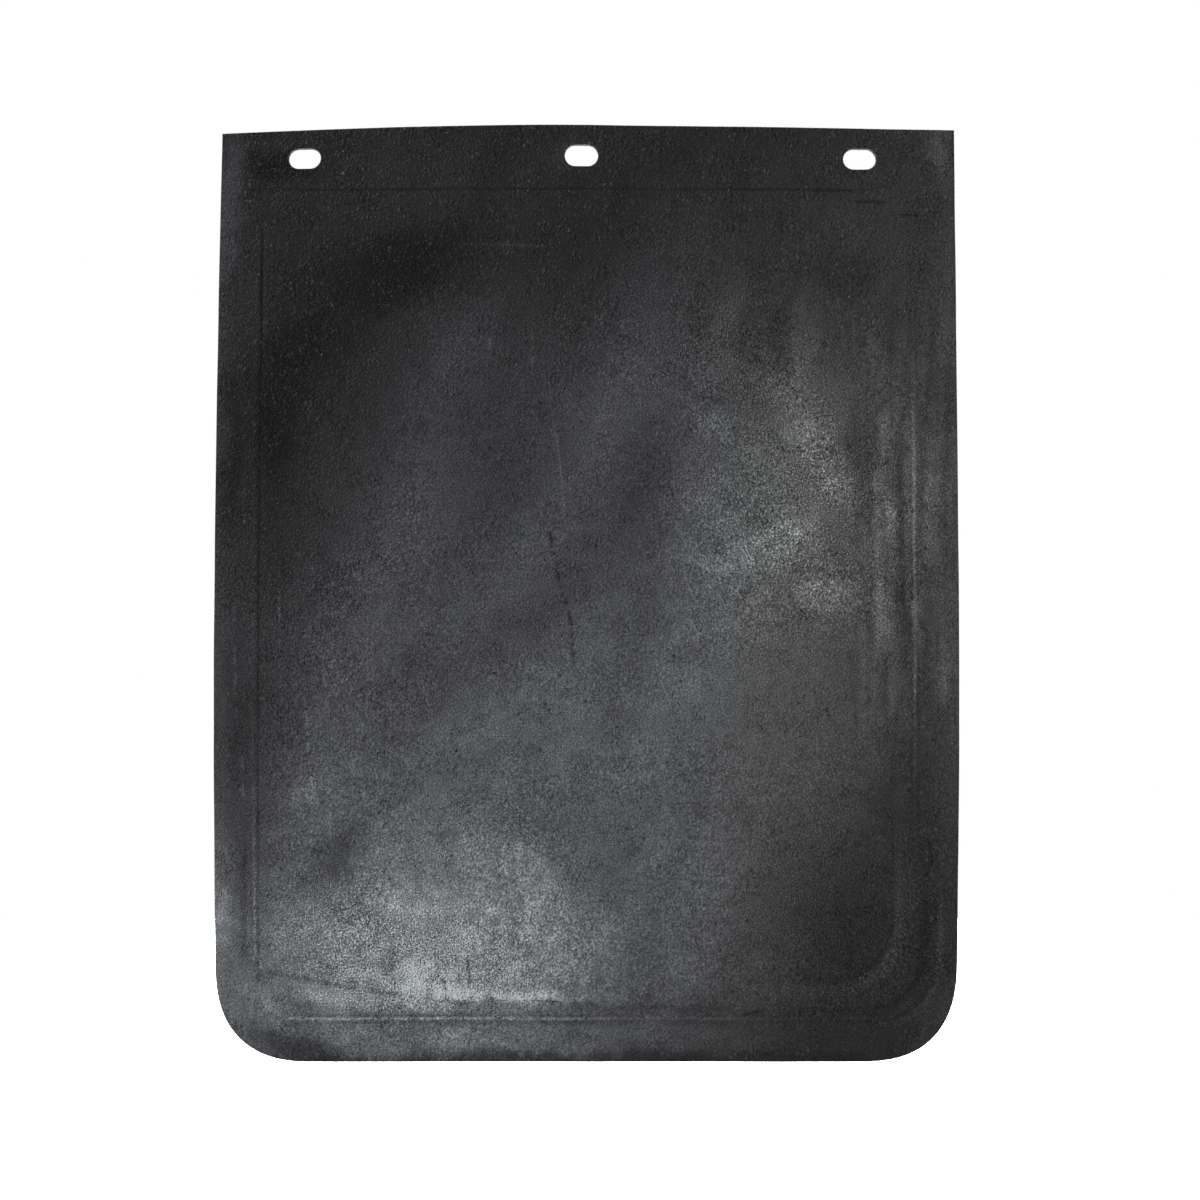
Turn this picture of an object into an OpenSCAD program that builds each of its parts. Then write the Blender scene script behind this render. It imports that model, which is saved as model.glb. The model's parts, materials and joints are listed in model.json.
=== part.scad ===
// Rubber mud flap for a truck or trailer wheel, hung from its top edge by three slotted bolt holes.
// Two rubber covers are cured round a carcass of two textile plies with a rubber core between them.
// +Z is up, the front of the flap faces -Y, and the back lies in the plane y = 0.
// The origin is the middle of the centre slot, on the back face. All sizes are in millimetres.

/* [Flap] */
// Overall width
flap_w = 610; // [560:1:760]
// Overall height
flap_h = 762; // [500:1:1100]
// Overall thickness
flap_t = 9.5; // [9:0.5:14]
// Radius of the two bottom corners (the top corners are square)
corner_r = 63.5; // [40:0.5:80]

/* [Slots] */
// Distance from one slot's middle to the next
slot_pitch = 228.6; // [120:0.1:240]
// Length of a slot, end to end
slot_len = 27; // [20:0.5:30]
// Width of a slot
slot_w = 17; // [11:0.5:19]
// Distance from the top edge down to the row's centre line
slot_drop = 25; // [20:0.5:32]
// Sideways offset of the row from the flap's centre line
slot_shift = -4; // [-8:0.5:8]

/* [Layers] */
// Thickness of each rubber cover over the carcass
cover_t = 3; // [2.5:0.1:3.2]
// Thickness of each textile ply
ply_t = 0.9; // [0.6:0.1:1.1]
// Width of the solid rubber rim between the carcass and the flap's edge
rim_w = 10; // [5:0.5:14]

/* [Moulded panel] */
// Distance from the sides to the frame line round the panel
panel_side = 36.5; // [24:0.5:60]
// Distance from the top edge to the frame line
panel_top = 52; // [45:0.5:80]
// Distance from the bottom edge to the frame line
panel_bottom = 35; // [24:0.5:60]
// Radius of the frame line's corners
panel_r = 29; // [15:0.5:35]
// How far the panel lies below the border round it
panel_sink = 0.3; // [0.1:0.1:0.5]
// Width of the frame line, a groove just inside the border
groove_w = 2; // [1:0.5:4]
// Depth of the groove below the border
groove_d = 0.6; // [0.6:0.1:1]

/* [Hidden] */
$fn = 96;

slot_count = 3;
middle_x = -slot_shift;
top_z = slot_drop;
bottom_z = slot_drop - flap_h;
core_t = flap_t - 2 * cover_t - 2 * ply_t;
carcass_t = core_t + 2 * ply_t;
half_t = flap_t / 2;
overrun = 1;

cover_colour = "#2d2e30";
core_colour = "#202123";
ply_colour = "#8f8a7c";

// A plate whose outline is drawn in X and Z. It starts at that depth in front of the back face.
module plate(depth, thickness) {
    translate([0, -depth, 0])
        rotate([90, 0, 0])
            linear_extrude(thickness)
                children();
}

// A rectangle between two heights with its four corners rounded
module round_panel(width, low_z, high_z, r) {
    translate([middle_x - width / 2 + r, low_z])
        square([width - 2 * r, high_z - low_z]);
    translate([middle_x - width / 2, low_z + r])
        square([width, high_z - low_z - 2 * r]);
    for (side = [-1, 1], z = [low_z + r, high_z - r])
        translate([middle_x + side * (width / 2 - r), z])
            circle(r);
}

// The flap's outline, drawn in by an even margin: square at the top, round at the bottom corners
module flap_outline(margin = 0) {
    width = flap_w - 2 * margin;
    r = corner_r - margin;
    translate([middle_x - width / 2, bottom_z + margin + r])
        square([width, flap_h - 2 * margin - r]);
    translate([middle_x - width / 2 + r, bottom_z + margin])
        square([width - 2 * r, r]);
    for (side = [-1, 1])
        translate([middle_x + side * (width / 2 - r), bottom_z + margin + r])
            circle(r);
}

// One slot about its own middle, with true round ends
module slot() {
    straight = slot_len - slot_w;
    square([straight, slot_w], center = true);
    for (side = [-1, 1])
        translate([side * straight / 2, 0])
            circle(d = slot_w);
}

// The row of slots, cut through every layer
module slot_row() {
    for (i = [0 : slot_count - 1])
        translate([(i - (slot_count - 1) / 2) * slot_pitch, 0])
            slot();
}

// A flat layer of the carcass, which stops short of the flap's edge
module carcass_sheet(depth, thickness) {
    plate(depth, thickness)
        difference() {
            flap_outline(rim_w);
            slot_row();
        }
}

// Half the flap's thickness, with its share of the pocket that the carcass fills
module cover_half(depth, pocket_depth) {
    difference() {
        plate(depth, half_t)
            difference() {
                flap_outline();
                slot_row();
            }
        plate(pocket_depth, carcass_t / 2 + overrun)
            flap_outline(rim_w);
    }
}

// The panel inside the frame line, at a margin from the line's outer edge
module panel_outline(margin = 0) {
    round_panel(
        flap_w - 2 * (panel_side + margin),
        bottom_z + panel_bottom + margin,
        top_z - panel_top - margin,
        panel_r - margin
    );
}

// Front rubber, with the sunk panel and the groove that frames it
module front_cover() {
    color(cover_colour)
        difference() {
            cover_half(half_t, half_t - overrun);
            plate(flap_t - panel_sink, panel_sink + overrun)
                panel_outline();
            plate(flap_t - groove_d, groove_d + overrun)
                difference() {
                    panel_outline();
                    panel_outline(groove_w);
                }
        }
}

// Textile ply under the front cover
module front_ply() {
    color(ply_colour)
        carcass_sheet(cover_t + ply_t + core_t, ply_t);
}

// Rubber between the two plies
module core_layer() {
    color(core_colour)
        carcass_sheet(cover_t + ply_t, core_t);
}

// Textile ply under the rear cover
module rear_ply() {
    color(ply_colour)
        carcass_sheet(cover_t, ply_t);
}

// Rear rubber, whose flat back lies against the bracket
module rear_cover() {
    color(cover_colour)
        cover_half(0, cover_t);
}

front_cover();
front_ply();
core_layer();
rear_ply();
rear_cover();
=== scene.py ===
"""Looks of the rubber mud flap: its five bowed layers, their finishes, and a plain studio."""

import json
import math

import bmesh
import bpy
import numpy as np
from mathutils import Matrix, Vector
from mathutils.geometry import delaunay_2d_cdt


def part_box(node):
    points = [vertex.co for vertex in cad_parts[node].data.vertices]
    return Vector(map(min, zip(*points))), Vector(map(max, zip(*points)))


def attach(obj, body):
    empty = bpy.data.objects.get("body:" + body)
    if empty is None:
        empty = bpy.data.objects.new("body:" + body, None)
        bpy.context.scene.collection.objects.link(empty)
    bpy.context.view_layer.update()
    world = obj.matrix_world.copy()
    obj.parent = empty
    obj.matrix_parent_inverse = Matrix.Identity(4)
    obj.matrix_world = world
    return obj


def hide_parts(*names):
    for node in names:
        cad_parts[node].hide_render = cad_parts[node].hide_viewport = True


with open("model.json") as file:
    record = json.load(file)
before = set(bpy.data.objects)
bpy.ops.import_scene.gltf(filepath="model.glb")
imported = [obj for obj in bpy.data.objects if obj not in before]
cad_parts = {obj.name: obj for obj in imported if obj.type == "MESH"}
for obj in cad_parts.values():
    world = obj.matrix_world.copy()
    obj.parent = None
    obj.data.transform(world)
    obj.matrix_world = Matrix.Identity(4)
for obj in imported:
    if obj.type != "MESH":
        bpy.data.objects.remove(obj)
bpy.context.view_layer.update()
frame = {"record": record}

MM = 0.001

# ---- What the frame says: the flap's box, its layers and its slots

COVER_LOW, COVER_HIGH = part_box("front_cover")
PLY_LOW, PLY_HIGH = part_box("front_ply")
CORE_LOW, CORE_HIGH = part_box("core_layer")
REAR_PLY_LOW, REAR_PLY_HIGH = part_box("rear_ply")
_, REAR_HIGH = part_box("rear_cover")
LEFT, RIGHT = COVER_LOW.x, COVER_HIGH.x
BOTTOM, TOP = COVER_LOW.z, COVER_HIGH.z
WIDTH, HEIGHT = RIGHT - LEFT, TOP - BOTTOM
MIDDLE_X, MIDDLE_Z = (LEFT + RIGHT) / 2, (BOTTOM + TOP) / 2
FRONT_Y, PARTING_Y, BACK_Y = COVER_LOW.y, COVER_HIGH.y, REAR_HIGH.y
RIM = PLY_LOW.x - COVER_LOW.x

MOUNTS = {m["name"]: m for m in frame["record"]["mounts"]}
SLOT_DIMS = MOUNTS["left_and_centre_slots"]["dims"]
SLOT_PITCH = SLOT_DIMS["spacing_x_mm"] * MM
SLOT_R = SLOT_DIMS["hole_r_mm"] * MM
SLOT_STRAIGHT = SLOT_DIMS["slot_length_mm"] * MM / 2 - SLOT_R
SLOT_CENTRES = [i * SLOT_PITCH for i in (-1, 0, 1)]

# ---- Shape values that the frame doesn't hold, in metres

CORNER_R = 82 * MM
CORNER_POWER = 2.55
EDGE_ROUND = 1.1 * MM
SLOT_ROUND = 0.6 * MM
SLOT_GROW = 0.3 * MM
FLASH = 0.25 * MM

PANEL_SIDE = 36.5 * MM
PANEL_TOP = 52 * MM
PANEL_BOTTOM = 35 * MM
PANEL_R = 29 * MM
PANEL_SINK = 0.5 * MM
GROOVE_W = 2 * MM
GROOVE_DEPTH = 0.18 * MM
LIP_HEIGHT = 0.16 * MM

CROWN_APEX = -31 * MM
CROWN_LEFT = 6.8 * MM
CROWN_RIGHT = 3.7 * MM
WAIST = 0.39
WAIST_PULL = (2.0 * MM, 1.5 * MM)
TOP_PULL = (14 * MM, 8 * MM)
FOOT_PULL = (8 * MM, 11 * MM)
CURL_BACK = 6 * MM
ROW_TILT = 0.0042

FIELD_STEP = 2.65 * MM
HIDDEN_STEP = 24 * MM
REAR_STEP = 4.5 * MM
LOOP_STEP = 3.0 * MM
ROW_RISE = 0.866  # from one staggered row of mesh points to the next, in steps
SLOT_CLEAR = 1.2 * MM  # between a slot and the mesh points round it
ROUND_TURNS = (0, 25, 50, 72, 90)  # a quarter round's steps, in degrees
SHARP_ANGLE = 50
PLY_BACK = 0.2 * MM  # how far a ply's cut edge stands back from the core's
FLASH_START, FLASH_END = 0.9 * MM, 0.2 * MM  # where the flash rises, from the parting line

# The square that the noise covers, in metres: how far left of and below the origin it starts, and
# how far it runs.
NOISE_LEFT, NOISE_LOW, NOISE_SPAN = 0.6, 1.0, 1.4

# Bloom and painted sheen on rubber that no patch covers, and the most that any place holds
BASE_HAZE_AND_SHEEN, HAZE_AND_SHEEN_LIMIT = 0.13, 1.35


# ---- Smooth noise on the flap's face


def noise(x, z, cell, seed):
    """Smooth noise from -1 to 1 whose bumps are about one cell across."""
    rng = np.random.default_rng(seed)
    count = int(NOISE_SPAN / cell) + 4
    grid = rng.uniform(-1, 1, (count, count))
    u = (x + NOISE_LEFT) / cell
    v = (z + NOISE_LOW) / cell
    i = np.clip(np.floor(u).astype(int), 0, count - 2)
    j = np.clip(np.floor(v).astype(int), 0, count - 2)
    fu = np.clip(u - i, 0, 1)
    fv = np.clip(v - j, 0, 1)
    fu = fu * fu * fu * (fu * (fu * 6 - 15) + 10)
    fv = fv * fv * fv * (fv * (fv * 6 - 15) + 10)
    low = grid[i, j] * (1 - fu) + grid[i + 1, j] * fu
    high = grid[i, j + 1] * (1 - fu) + grid[i + 1, j + 1] * fu
    return low * (1 - fv) + high * fv


def fractal(x, z, cell, seed, octaves=4, gain=0.55):
    """Noise with finer and weaker copies of itself added, from about -1 to 1."""
    total = np.zeros_like(x)
    weight = 1.0
    norm = 0.0
    for k in range(octaves):
        total += weight * noise(x, z, cell / 2**k, seed + k)
        norm += weight
        weight *= gain
    return total / norm


def streaks(x, z, angle, cell, stretch, seed):
    """Noise drawn out along one direction, given in degrees from +X towards +Z."""
    c, s = math.cos(math.radians(angle)), math.sin(math.radians(angle))
    along = (x * c + (z - MIDDLE_Z) * s) / stretch
    across = -x * s + (z - MIDDLE_Z) * c
    return fractal(along, across + MIDDLE_Z, cell, seed, octaves=3)


def smooth(value, low, high):
    """0 below low, 1 above high, and a smooth step between."""
    t = np.clip((value - low) / (high - low), 0, 1)
    return t * t * (3 - 2 * t)


# ---- Outlines, as closed rows of points that match from one inset to the next


def quarter(centre, radius, start, count, power):
    """A quarter of a rounded corner, from angle start in degrees, turning anticlockwise."""
    turn = np.radians(start + np.linspace(0, 90, count + 1))
    c, s = np.cos(turn), np.sin(turn)
    x = np.sign(c) * np.abs(c) ** (2 / power)
    z = np.sign(s) * np.abs(s) ** (2 / power)
    return np.column_stack([centre[0] + radius * x, centre[1] + radius * z])


def rounded_loop(left, right, bottom, top, bottom_r, top_r, power=2.0):
    """A rectangle with rounded corners, as points about LOOP_STEP apart."""
    corners = [
        (right - bottom_r, bottom + bottom_r, bottom_r, -90),
        (right - top_r, top - top_r, top_r, 0),
        (left + top_r, top - top_r, top_r, 90),
        (left + bottom_r, bottom + bottom_r, bottom_r, 180),
    ]
    arcs = []
    for x, z, radius, start in corners:
        if radius > 0:
            count = 10 if radius < PANEL_R else 36
            arcs.append(quarter((x, z), radius, start, count, power))
        else:
            arcs.append(np.array([[x, z]]))
    sides = [HEIGHT, WIDTH, HEIGHT, WIDTH]
    rows = []
    for k, arc in enumerate(arcs):
        following = arcs[(k + 1) % 4][0]
        count = int(sides[k] / LOOP_STEP)
        t = np.linspace(0, 1, count + 1)[1:-1, None]
        rows += [arc, arc[-1] * (1 - t) + following * t]
    return np.vstack(rows)


def outline(inset):
    """The flap's outline, drawn in by inset."""
    left, right, bottom, top = LEFT + inset, RIGHT - inset, BOTTOM + inset, TOP - inset
    return rounded_loop(left, right, bottom, top, CORNER_R - inset, 0, CORNER_POWER)


def panel_line(inset):
    """The frame line round the moulded panel, drawn in by inset."""
    left, right = LEFT + PANEL_SIDE + inset, RIGHT - PANEL_SIDE - inset
    bottom, top = BOTTOM + PANEL_BOTTOM + inset, TOP - PANEL_TOP - inset
    return rounded_loop(left, right, bottom, top, PANEL_R - inset, PANEL_R - inset)


def slot_loop(centre, grow):
    """One slot's outline, made larger all round by grow, with a punched edge's slight wobble."""
    radius = SLOT_R + grow
    right = np.radians(np.linspace(-90, 90, 25))
    left = right + math.pi
    straight = np.linspace(-1, 1, 7)[1:-1] * SLOT_STRAIGHT
    top = np.column_stack([-straight, np.full(5, radius)])
    low = np.column_stack([straight, np.full(5, -radius)])
    ends = [
        np.column_stack([side * SLOT_STRAIGHT + radius * np.cos(a), radius * np.sin(a)])
        for side, a in ((1, right), (-1, left))
    ]
    loop = np.vstack([ends[0], top, ends[1], low])
    push = 0.2 * MM * noise(loop[:, 0] + centre, loop[:, 1], 15 * MM, 71)
    loop *= (1 + push / np.hypot(loop[:, 0], loop[:, 1]))[:, None]
    loop[:, 0] += centre
    return loop


def distance_to_box(x, z, side, low, high, radius):
    """Signed distance to a rounded rectangle: positive inside it. side, low and high are insets."""
    half_w = WIDTH / 2 - side
    half_h = (HEIGHT - low - high) / 2
    centre_z = (BOTTOM + low + TOP - high) / 2
    qx = np.abs(x - MIDDLE_X) - half_w + radius
    qz = np.abs(z - centre_z) - half_h + radius
    outside = np.hypot(np.maximum(qx, 0), np.maximum(qz, 0))
    return radius - outside - np.minimum(np.maximum(qx, qz), 0)


# ---- Marks on the front: creases, cuts and ghost lines of the mould

# Each mark is a row of points in mm from the bottom left corner, its half width and its depth in mm,
# the share of bloom it has lost, and whether it breaks up into dots.
MARKS = [
    # the long crease, and short cuts and cracks
    ([(38, 72.5), (61, 70), (91, 64), (125, 59), (170, 52), (208, 47)], 1.3, 0.50, 0.3, False),
    ([(493, 709), (508, 709.5), (524, 709)], 0.8, 0.40, 0.4, False),
    ([(528, 699), (540, 700), (549, 699)], 0.8, 0.50, 0.5, False),
    ([(564, 688.5), (580, 689)], 0.7, 0.50, 0.5, False),
    ([(26, 709.5), (50, 710), (76, 710)], 0.8, 0.25, 0.4, False),
    ([(434, 38.5), (441, 40.5), (449, 41.5)], 0.8, 0.60, 0.6, False),
    ([(586, 178), (588, 160)], 0.7, 0.40, 0.5, False),
    ([(592, 124), (595, 129)], 0.7, 0.30, 0.4, False),
    ([(464, 664), (465, 682)], 0.6, 0.25, 0.3, False),
    ([(372, 470), (379, 454)], 0.7, 0.20, 0.2, False),
    ([(190, 66), (190.5, 58)], 0.6, 0.35, 0.6, False),
    ([(208, 84), (210, 74), (209, 60)], 0.6, 0.30, 0.5, False),
    ([(201, 72), (202, 64)], 0.6, 0.30, 0.4, False),
    ([(262, 50), (284, 49)], 0.7, 0.30, 0.5, False),
    ([(148, 170), (190, 182), (236, 190)], 1.4, 0.14, 0.06, False),
    ([(110, 268), (131, 286), (150, 309)], 1.8, 0.16, 0.06, False),
    # a raised pale rib, and two grooves made pale: painted highlight standing in for their lit lower
    # walls
    ([(280, 515), (284, 490), (287, 458), (288, 444)], 0.6, -0.25, -0.28, False),
    ([(156, 666), (170, 667), (188, 666)], 0.9, 0.35, -0.6, False),
    ([(204, 665.5), (236, 665), (268, 664)], 0.9, 0.35, -0.6, False),
    # dotted rows left by the mould: pimples, and one row of pits
    ([(18.5, 384), (18, 330), (19.5, 276)], 1.1, -0.8, -0.5, True),
    ([(24.5, 262), (25, 212)], 1.1, -0.8, -0.5, True),
    ([(54, 384), (55, 342)], 1.1, -0.8, -0.5, True),
    ([(96, 228), (97, 178)], 1.1, -0.8, -0.4, True),
    ([(227, 612), (227.5, 570)], 1.1, -0.8, -0.5, True),
    ([(76, 296), (78, 262), (82, 218)], 1.1, -0.8, -0.5, True),
    ([(63, 420), (84, 397), (102, 381)], 1.1, -0.8, -0.4, True),
    ([(276, 430), (283, 394), (293, 358), (296, 320)], 1.1, 0.8, 0.5, True),
    ([(263, 600), (262, 566)], 1.0, -0.7, -0.4, True),
]

# Where the frame line shows best, in the same form as the haze patches.
CLEAR_LINE = [
    (0.06, 0.8, 70, 16, 90, 2, 0.5), (0.06, 0.49, 70, 16, 90, 2, 0.45),
    (0.06, 0.63, 60, 16, 90, 2, 0.4), (0.06, 0.17, 60, 16, 90, 1.5, -0.2),
    (0.94, 0.62, 110, 16, 90, 1.5, 0.12), (0.94, 0.33, 60, 16, 90, 1.5, 0.3),
    (0.3, 0.93, 190, 16, 0, 1.8, 0.35), (0.72, 0.93, 60, 16, 0, 1.8, 0.3),
    (0.94, 0.86, 90, 16, 90, 2, -0.35), (0.94, 0.14, 110, 16, 90, 2, -0.3),
    (0.34, 0.046, 130, 16, 0, 2, 0.7), (0.7, 0.046, 90, 16, 0, 1.5, 0.3),
]

# Ghost lines: insets from the sides and the bottom, corner radius, half width and depth in mm, the
# bloom gained or lost, and the middle and reach, as shares of the flap's width and height, of the
# stretch where each shows.
GHOST_LINES = [
    (15, 30, 50, 3.0, 0.10, 0.09, (1.0, 0.10), (0.14, 0.10)),
    (18, 33, 50, 0.9, 0.28, -0.09, (1.0, 0.12), (0.12, 0.10)),
    (27, 42, 50, 4.0, 0.08, -0.08, (1.0, 0.09), (0.16, 0.09)),
    (50, 58, 50, 5.0, -0.08, 0.08, (0.93, 0.11), (0.16, 0.12)),
    (54, 66, 50, 1.4, 0.28, -0.08, (0.93, 0.12), (0.16, 0.12)),
    (51, 58, 62, 1.5, 0.18, 0.0, (0.93, 0.50), (0.06, 0.24)),
    (18, 33, 50, 1.2, 0.16, 0.0, (1.0, 0.62), (0.06, 0.10)),
    (33.5, 58, 40, 1.1, -0.40, 0.20, (0.03, 0.17), (0.06, 0.11)),
    (31.0, 59, 40, 1.4, 0.10, -0.06, (0.03, 0.16), (0.06, 0.09)),
    (28.5, 60, 40, 1.5, -0.22, 0.10, (0.03, 0.15), (0.06, 0.06)),
    (32, 60, 40, 1.2, -0.16, 0.04, (0.02, 0.30), (0.06, 0.50)),
]


def mark_points(points):
    """A mark's points in the row frame, in metres."""
    return [np.array([LEFT + px * MM, BOTTOM + pz * MM]) for px, pz in points]


def distance_to_path(x, z, path):
    """Distance from each point to an open path of straight pieces."""
    nearest = np.full(x.shape, 1.0)
    for a, b in zip(path, path[1:]):
        d = b - a
        t = np.clip(((x - a[0]) * d[0] + (z - a[1]) * d[1]) / (d @ d), 0, 1)
        nearest = np.minimum(nearest, np.hypot(x - a[0] - t * d[0], z - a[1] - t * d[1]))
    return nearest


def inside_loop(points, loop):
    """True for the points that lie inside a closed loop, by counting the edges above each one."""
    x, z = points[:, :1], points[:, 1:]
    ax, az = loop.T
    bx, bz = np.roll(loop, -1, axis=0).T
    spans = (ax > x) != (bx > x)
    run = np.where(bx == ax, 1, bx - ax)
    above = az + (x - ax) * (bz - az) / run > z
    return (spans & above).sum(1) % 2 == 1


def strip_of(path, offsets, step):
    """Extra mesh points beside a path, so that the surface can follow a narrow mark."""
    rows = []
    for a, b in zip(path, path[1:]):
        length = np.linalg.norm(b - a)
        side = np.array([-(b - a)[1], (b - a)[0]]) / length
        t = np.linspace(0, 1, max(2, int(length / step) + 1))[:-1, None]
        line = a * (1 - t) + b * t
        rows += [line + side * offset for offset in offsets]
    return np.vstack(rows)


# ---- The sheet's own form: how it bows, and the relief on its front and back


def bow(x, z):
    """How far the whole sheet stands back from its flat place, in metres along +Y."""
    across = (x - MIDDLE_X) / (WIDTH / 2)
    up = smooth(z, MIDDLE_Z - 0.15, TOP)
    curl = CURL_BACK * across**2 * up
    waves = 1.5 * MM * fractal(x, z, 0.21, 11, octaves=2)
    waves += 0.7 * MM * streaks(x, z, 52, 0.11, 2.2, 13)
    clamped = smooth(z, -0.03, -0.16)
    return curl + waves * clamped


def warp(x, z):
    """The sheet's small departures from a true rectangle, in its own plane."""
    across = (x - MIDDLE_X) / (WIDTH / 2)
    up = (z - BOTTOM) / HEIGHT - WAIST
    left = x < MIDDLE_X
    growth = np.where(up > 0, np.where(left, *TOP_PULL), np.where(left, *FOOT_PULL))
    pull = np.where(left, *WAIST_PULL) + growth * np.abs(up) ** 1.5
    from_apex = (x - MIDDLE_X - CROWN_APEX) / (WIDTH / 2)
    drop_left = CROWN_LEFT * (np.clip(-from_apex, 0, None) / 0.9) ** 1.6
    drop_right = CROWN_RIGHT * (np.clip(from_apex, 0, None) / 1.1) ** 1.3
    drop = (drop_left + drop_right) * smooth(z, TOP - 0.07, TOP)
    drop += ROW_TILT * x * np.exp(-((z / (16 * MM)) ** 2))
    new_x = x - across**3 * pull + 0.2 * MM * noise(x, z, 0.05, 21)
    new_z = z - drop + 0.2 * MM * noise(x, z, 0.05, 22)
    return new_x, new_z


def patches_sum(x, z, patches):
    """The sum of soft patches, each a middle as shares of the flap's width and height, its reach
    along and across in mm, its tilt in degrees, how crisp its edge is, and its strength."""
    total = np.zeros_like(x)
    for u, v, reach_along, reach_across, tilt, crisp, strength in patches:
        dx = (x - LEFT - u * WIDTH) / MM
        dz = (z - BOTTOM - v * HEIGHT) / MM
        c, s = math.cos(math.radians(tilt)), math.sin(math.radians(tilt))
        away = ((dx * c + dz * s) / reach_along) ** 2 + ((-dx * s + dz * c) / reach_across) ** 2
        total += strength * np.exp(-(away**crisp))
    return total


def line_strength(x, z):
    """How clearly the frame line shows along its run, from barely to fully."""
    wear_and_lit_side = 0.55 * fractal(x, z, 0.05, 31, octaves=3)
    to_side = WIDTH / 2 - PANEL_SIDE - np.abs(x - MIDDLE_X)
    in_corner = smooth(to_side, PANEL_R + 10 * MM, PANEL_R) * smooth(z, TOP - 0.09, TOP - 0.08)
    return np.clip(0.4 + wear_and_lit_side + patches_sum(x, z, CLEAR_LINE), 0.1, 1.2) * (1 - in_corner)


def frame_line_relief(x, z):
    """The step down to the sunk panel, the faint groove at its foot and the soft lip above it."""
    inside = distance_to_box(x, z, PANEL_SIDE, PANEL_BOTTOM, PANEL_TOP, PANEL_R)
    strength = line_strength(x, z)
    sunk = -PANEL_SINK * smooth(inside, -0.6 * MM, 1.1 * MM)
    groove = -GROOVE_DEPTH * np.exp(-(((inside - 1.8 * MM) / (0.5 * GROOVE_W)) ** 2))
    lip = LIP_HEIGHT * np.exp(-(((inside + 2.2 * MM) / (1.6 * MM)) ** 2))
    far = smooth(np.abs(inside), 12 * MM, 5 * MM)
    return sunk * (1 - far + strength * far) + strength * (groove + lip)


def ghost(x, z, line):
    """How clearly one ghost line shows at each point, from 0 to 1."""
    side, low, radius, half_width, _, _, middle, reach = line
    away = distance_to_box(x, z, side * MM, low * MM, PANEL_TOP, radius * MM)
    along_x = ((x - LEFT) / WIDTH - middle[0]) / reach[0]
    along_z = ((z - BOTTOM) / HEIGHT - middle[1]) / reach[1]
    broken = 1 + 0.6 * fractal(x, z, 0.02, 63, octaves=3)
    return broken * np.exp(-(along_x**2) - along_z**2 - (away / (half_width * MM)) ** 2)


def mark_shown(x, z, mark, spread):
    """How clearly one mark shows at each point, from 0 to 1, with its half width times spread."""
    points, half_width, _, _, dotted = mark
    away = distance_to_path(x, z, mark_points(points))
    shown = np.exp(-((away / (spread * half_width * MM)) ** 2))
    if dotted:
        shown *= smooth(noise(x, z, 3.4 * MM, 61), -0.1, 0.3)
    return shown


def marks_relief(x, z):
    """How far the creases, cuts, dots and ghost lines stand out."""
    total = np.zeros_like(x)
    for mark in MARKS:
        _, _, depth, _, _ = mark
        total -= depth * MM * mark_shown(x, z, mark, 1)
    for line in GHOST_LINES:
        _, _, _, _, depth, _, _, _ = line
        total -= depth * MM * ghost(x, z, line)
    return total


def lumps(x, z, seed):
    """Scattered blisters and shallow dents, and the slight unevenness between them."""
    crowd = smooth(fractal(x, z, 0.08, seed, octaves=2), -0.2, 0.5)
    blisters = smooth(noise(x, z, 6.5 * MM, seed + 5), 0.42, 0.95)
    dents = smooth(noise(x, z, 9 * MM, seed + 6), 0.5, 1.0)
    uneven = fractal(x, z, 26 * MM, seed + 7, octaves=3)
    return MM * (0.2 * blisters * crowd - 0.16 * dents * crowd + 0.09 * uneven)


def front_relief(x, z):
    """How far the front stands out of its flat place."""
    return frame_line_relief(x, z) + marks_relief(x, z) + lumps(x, z, 41)


def rear_relief(x, z):
    """How far the back stands out of its flat place."""
    return lumps(x, z, 241)
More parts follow.
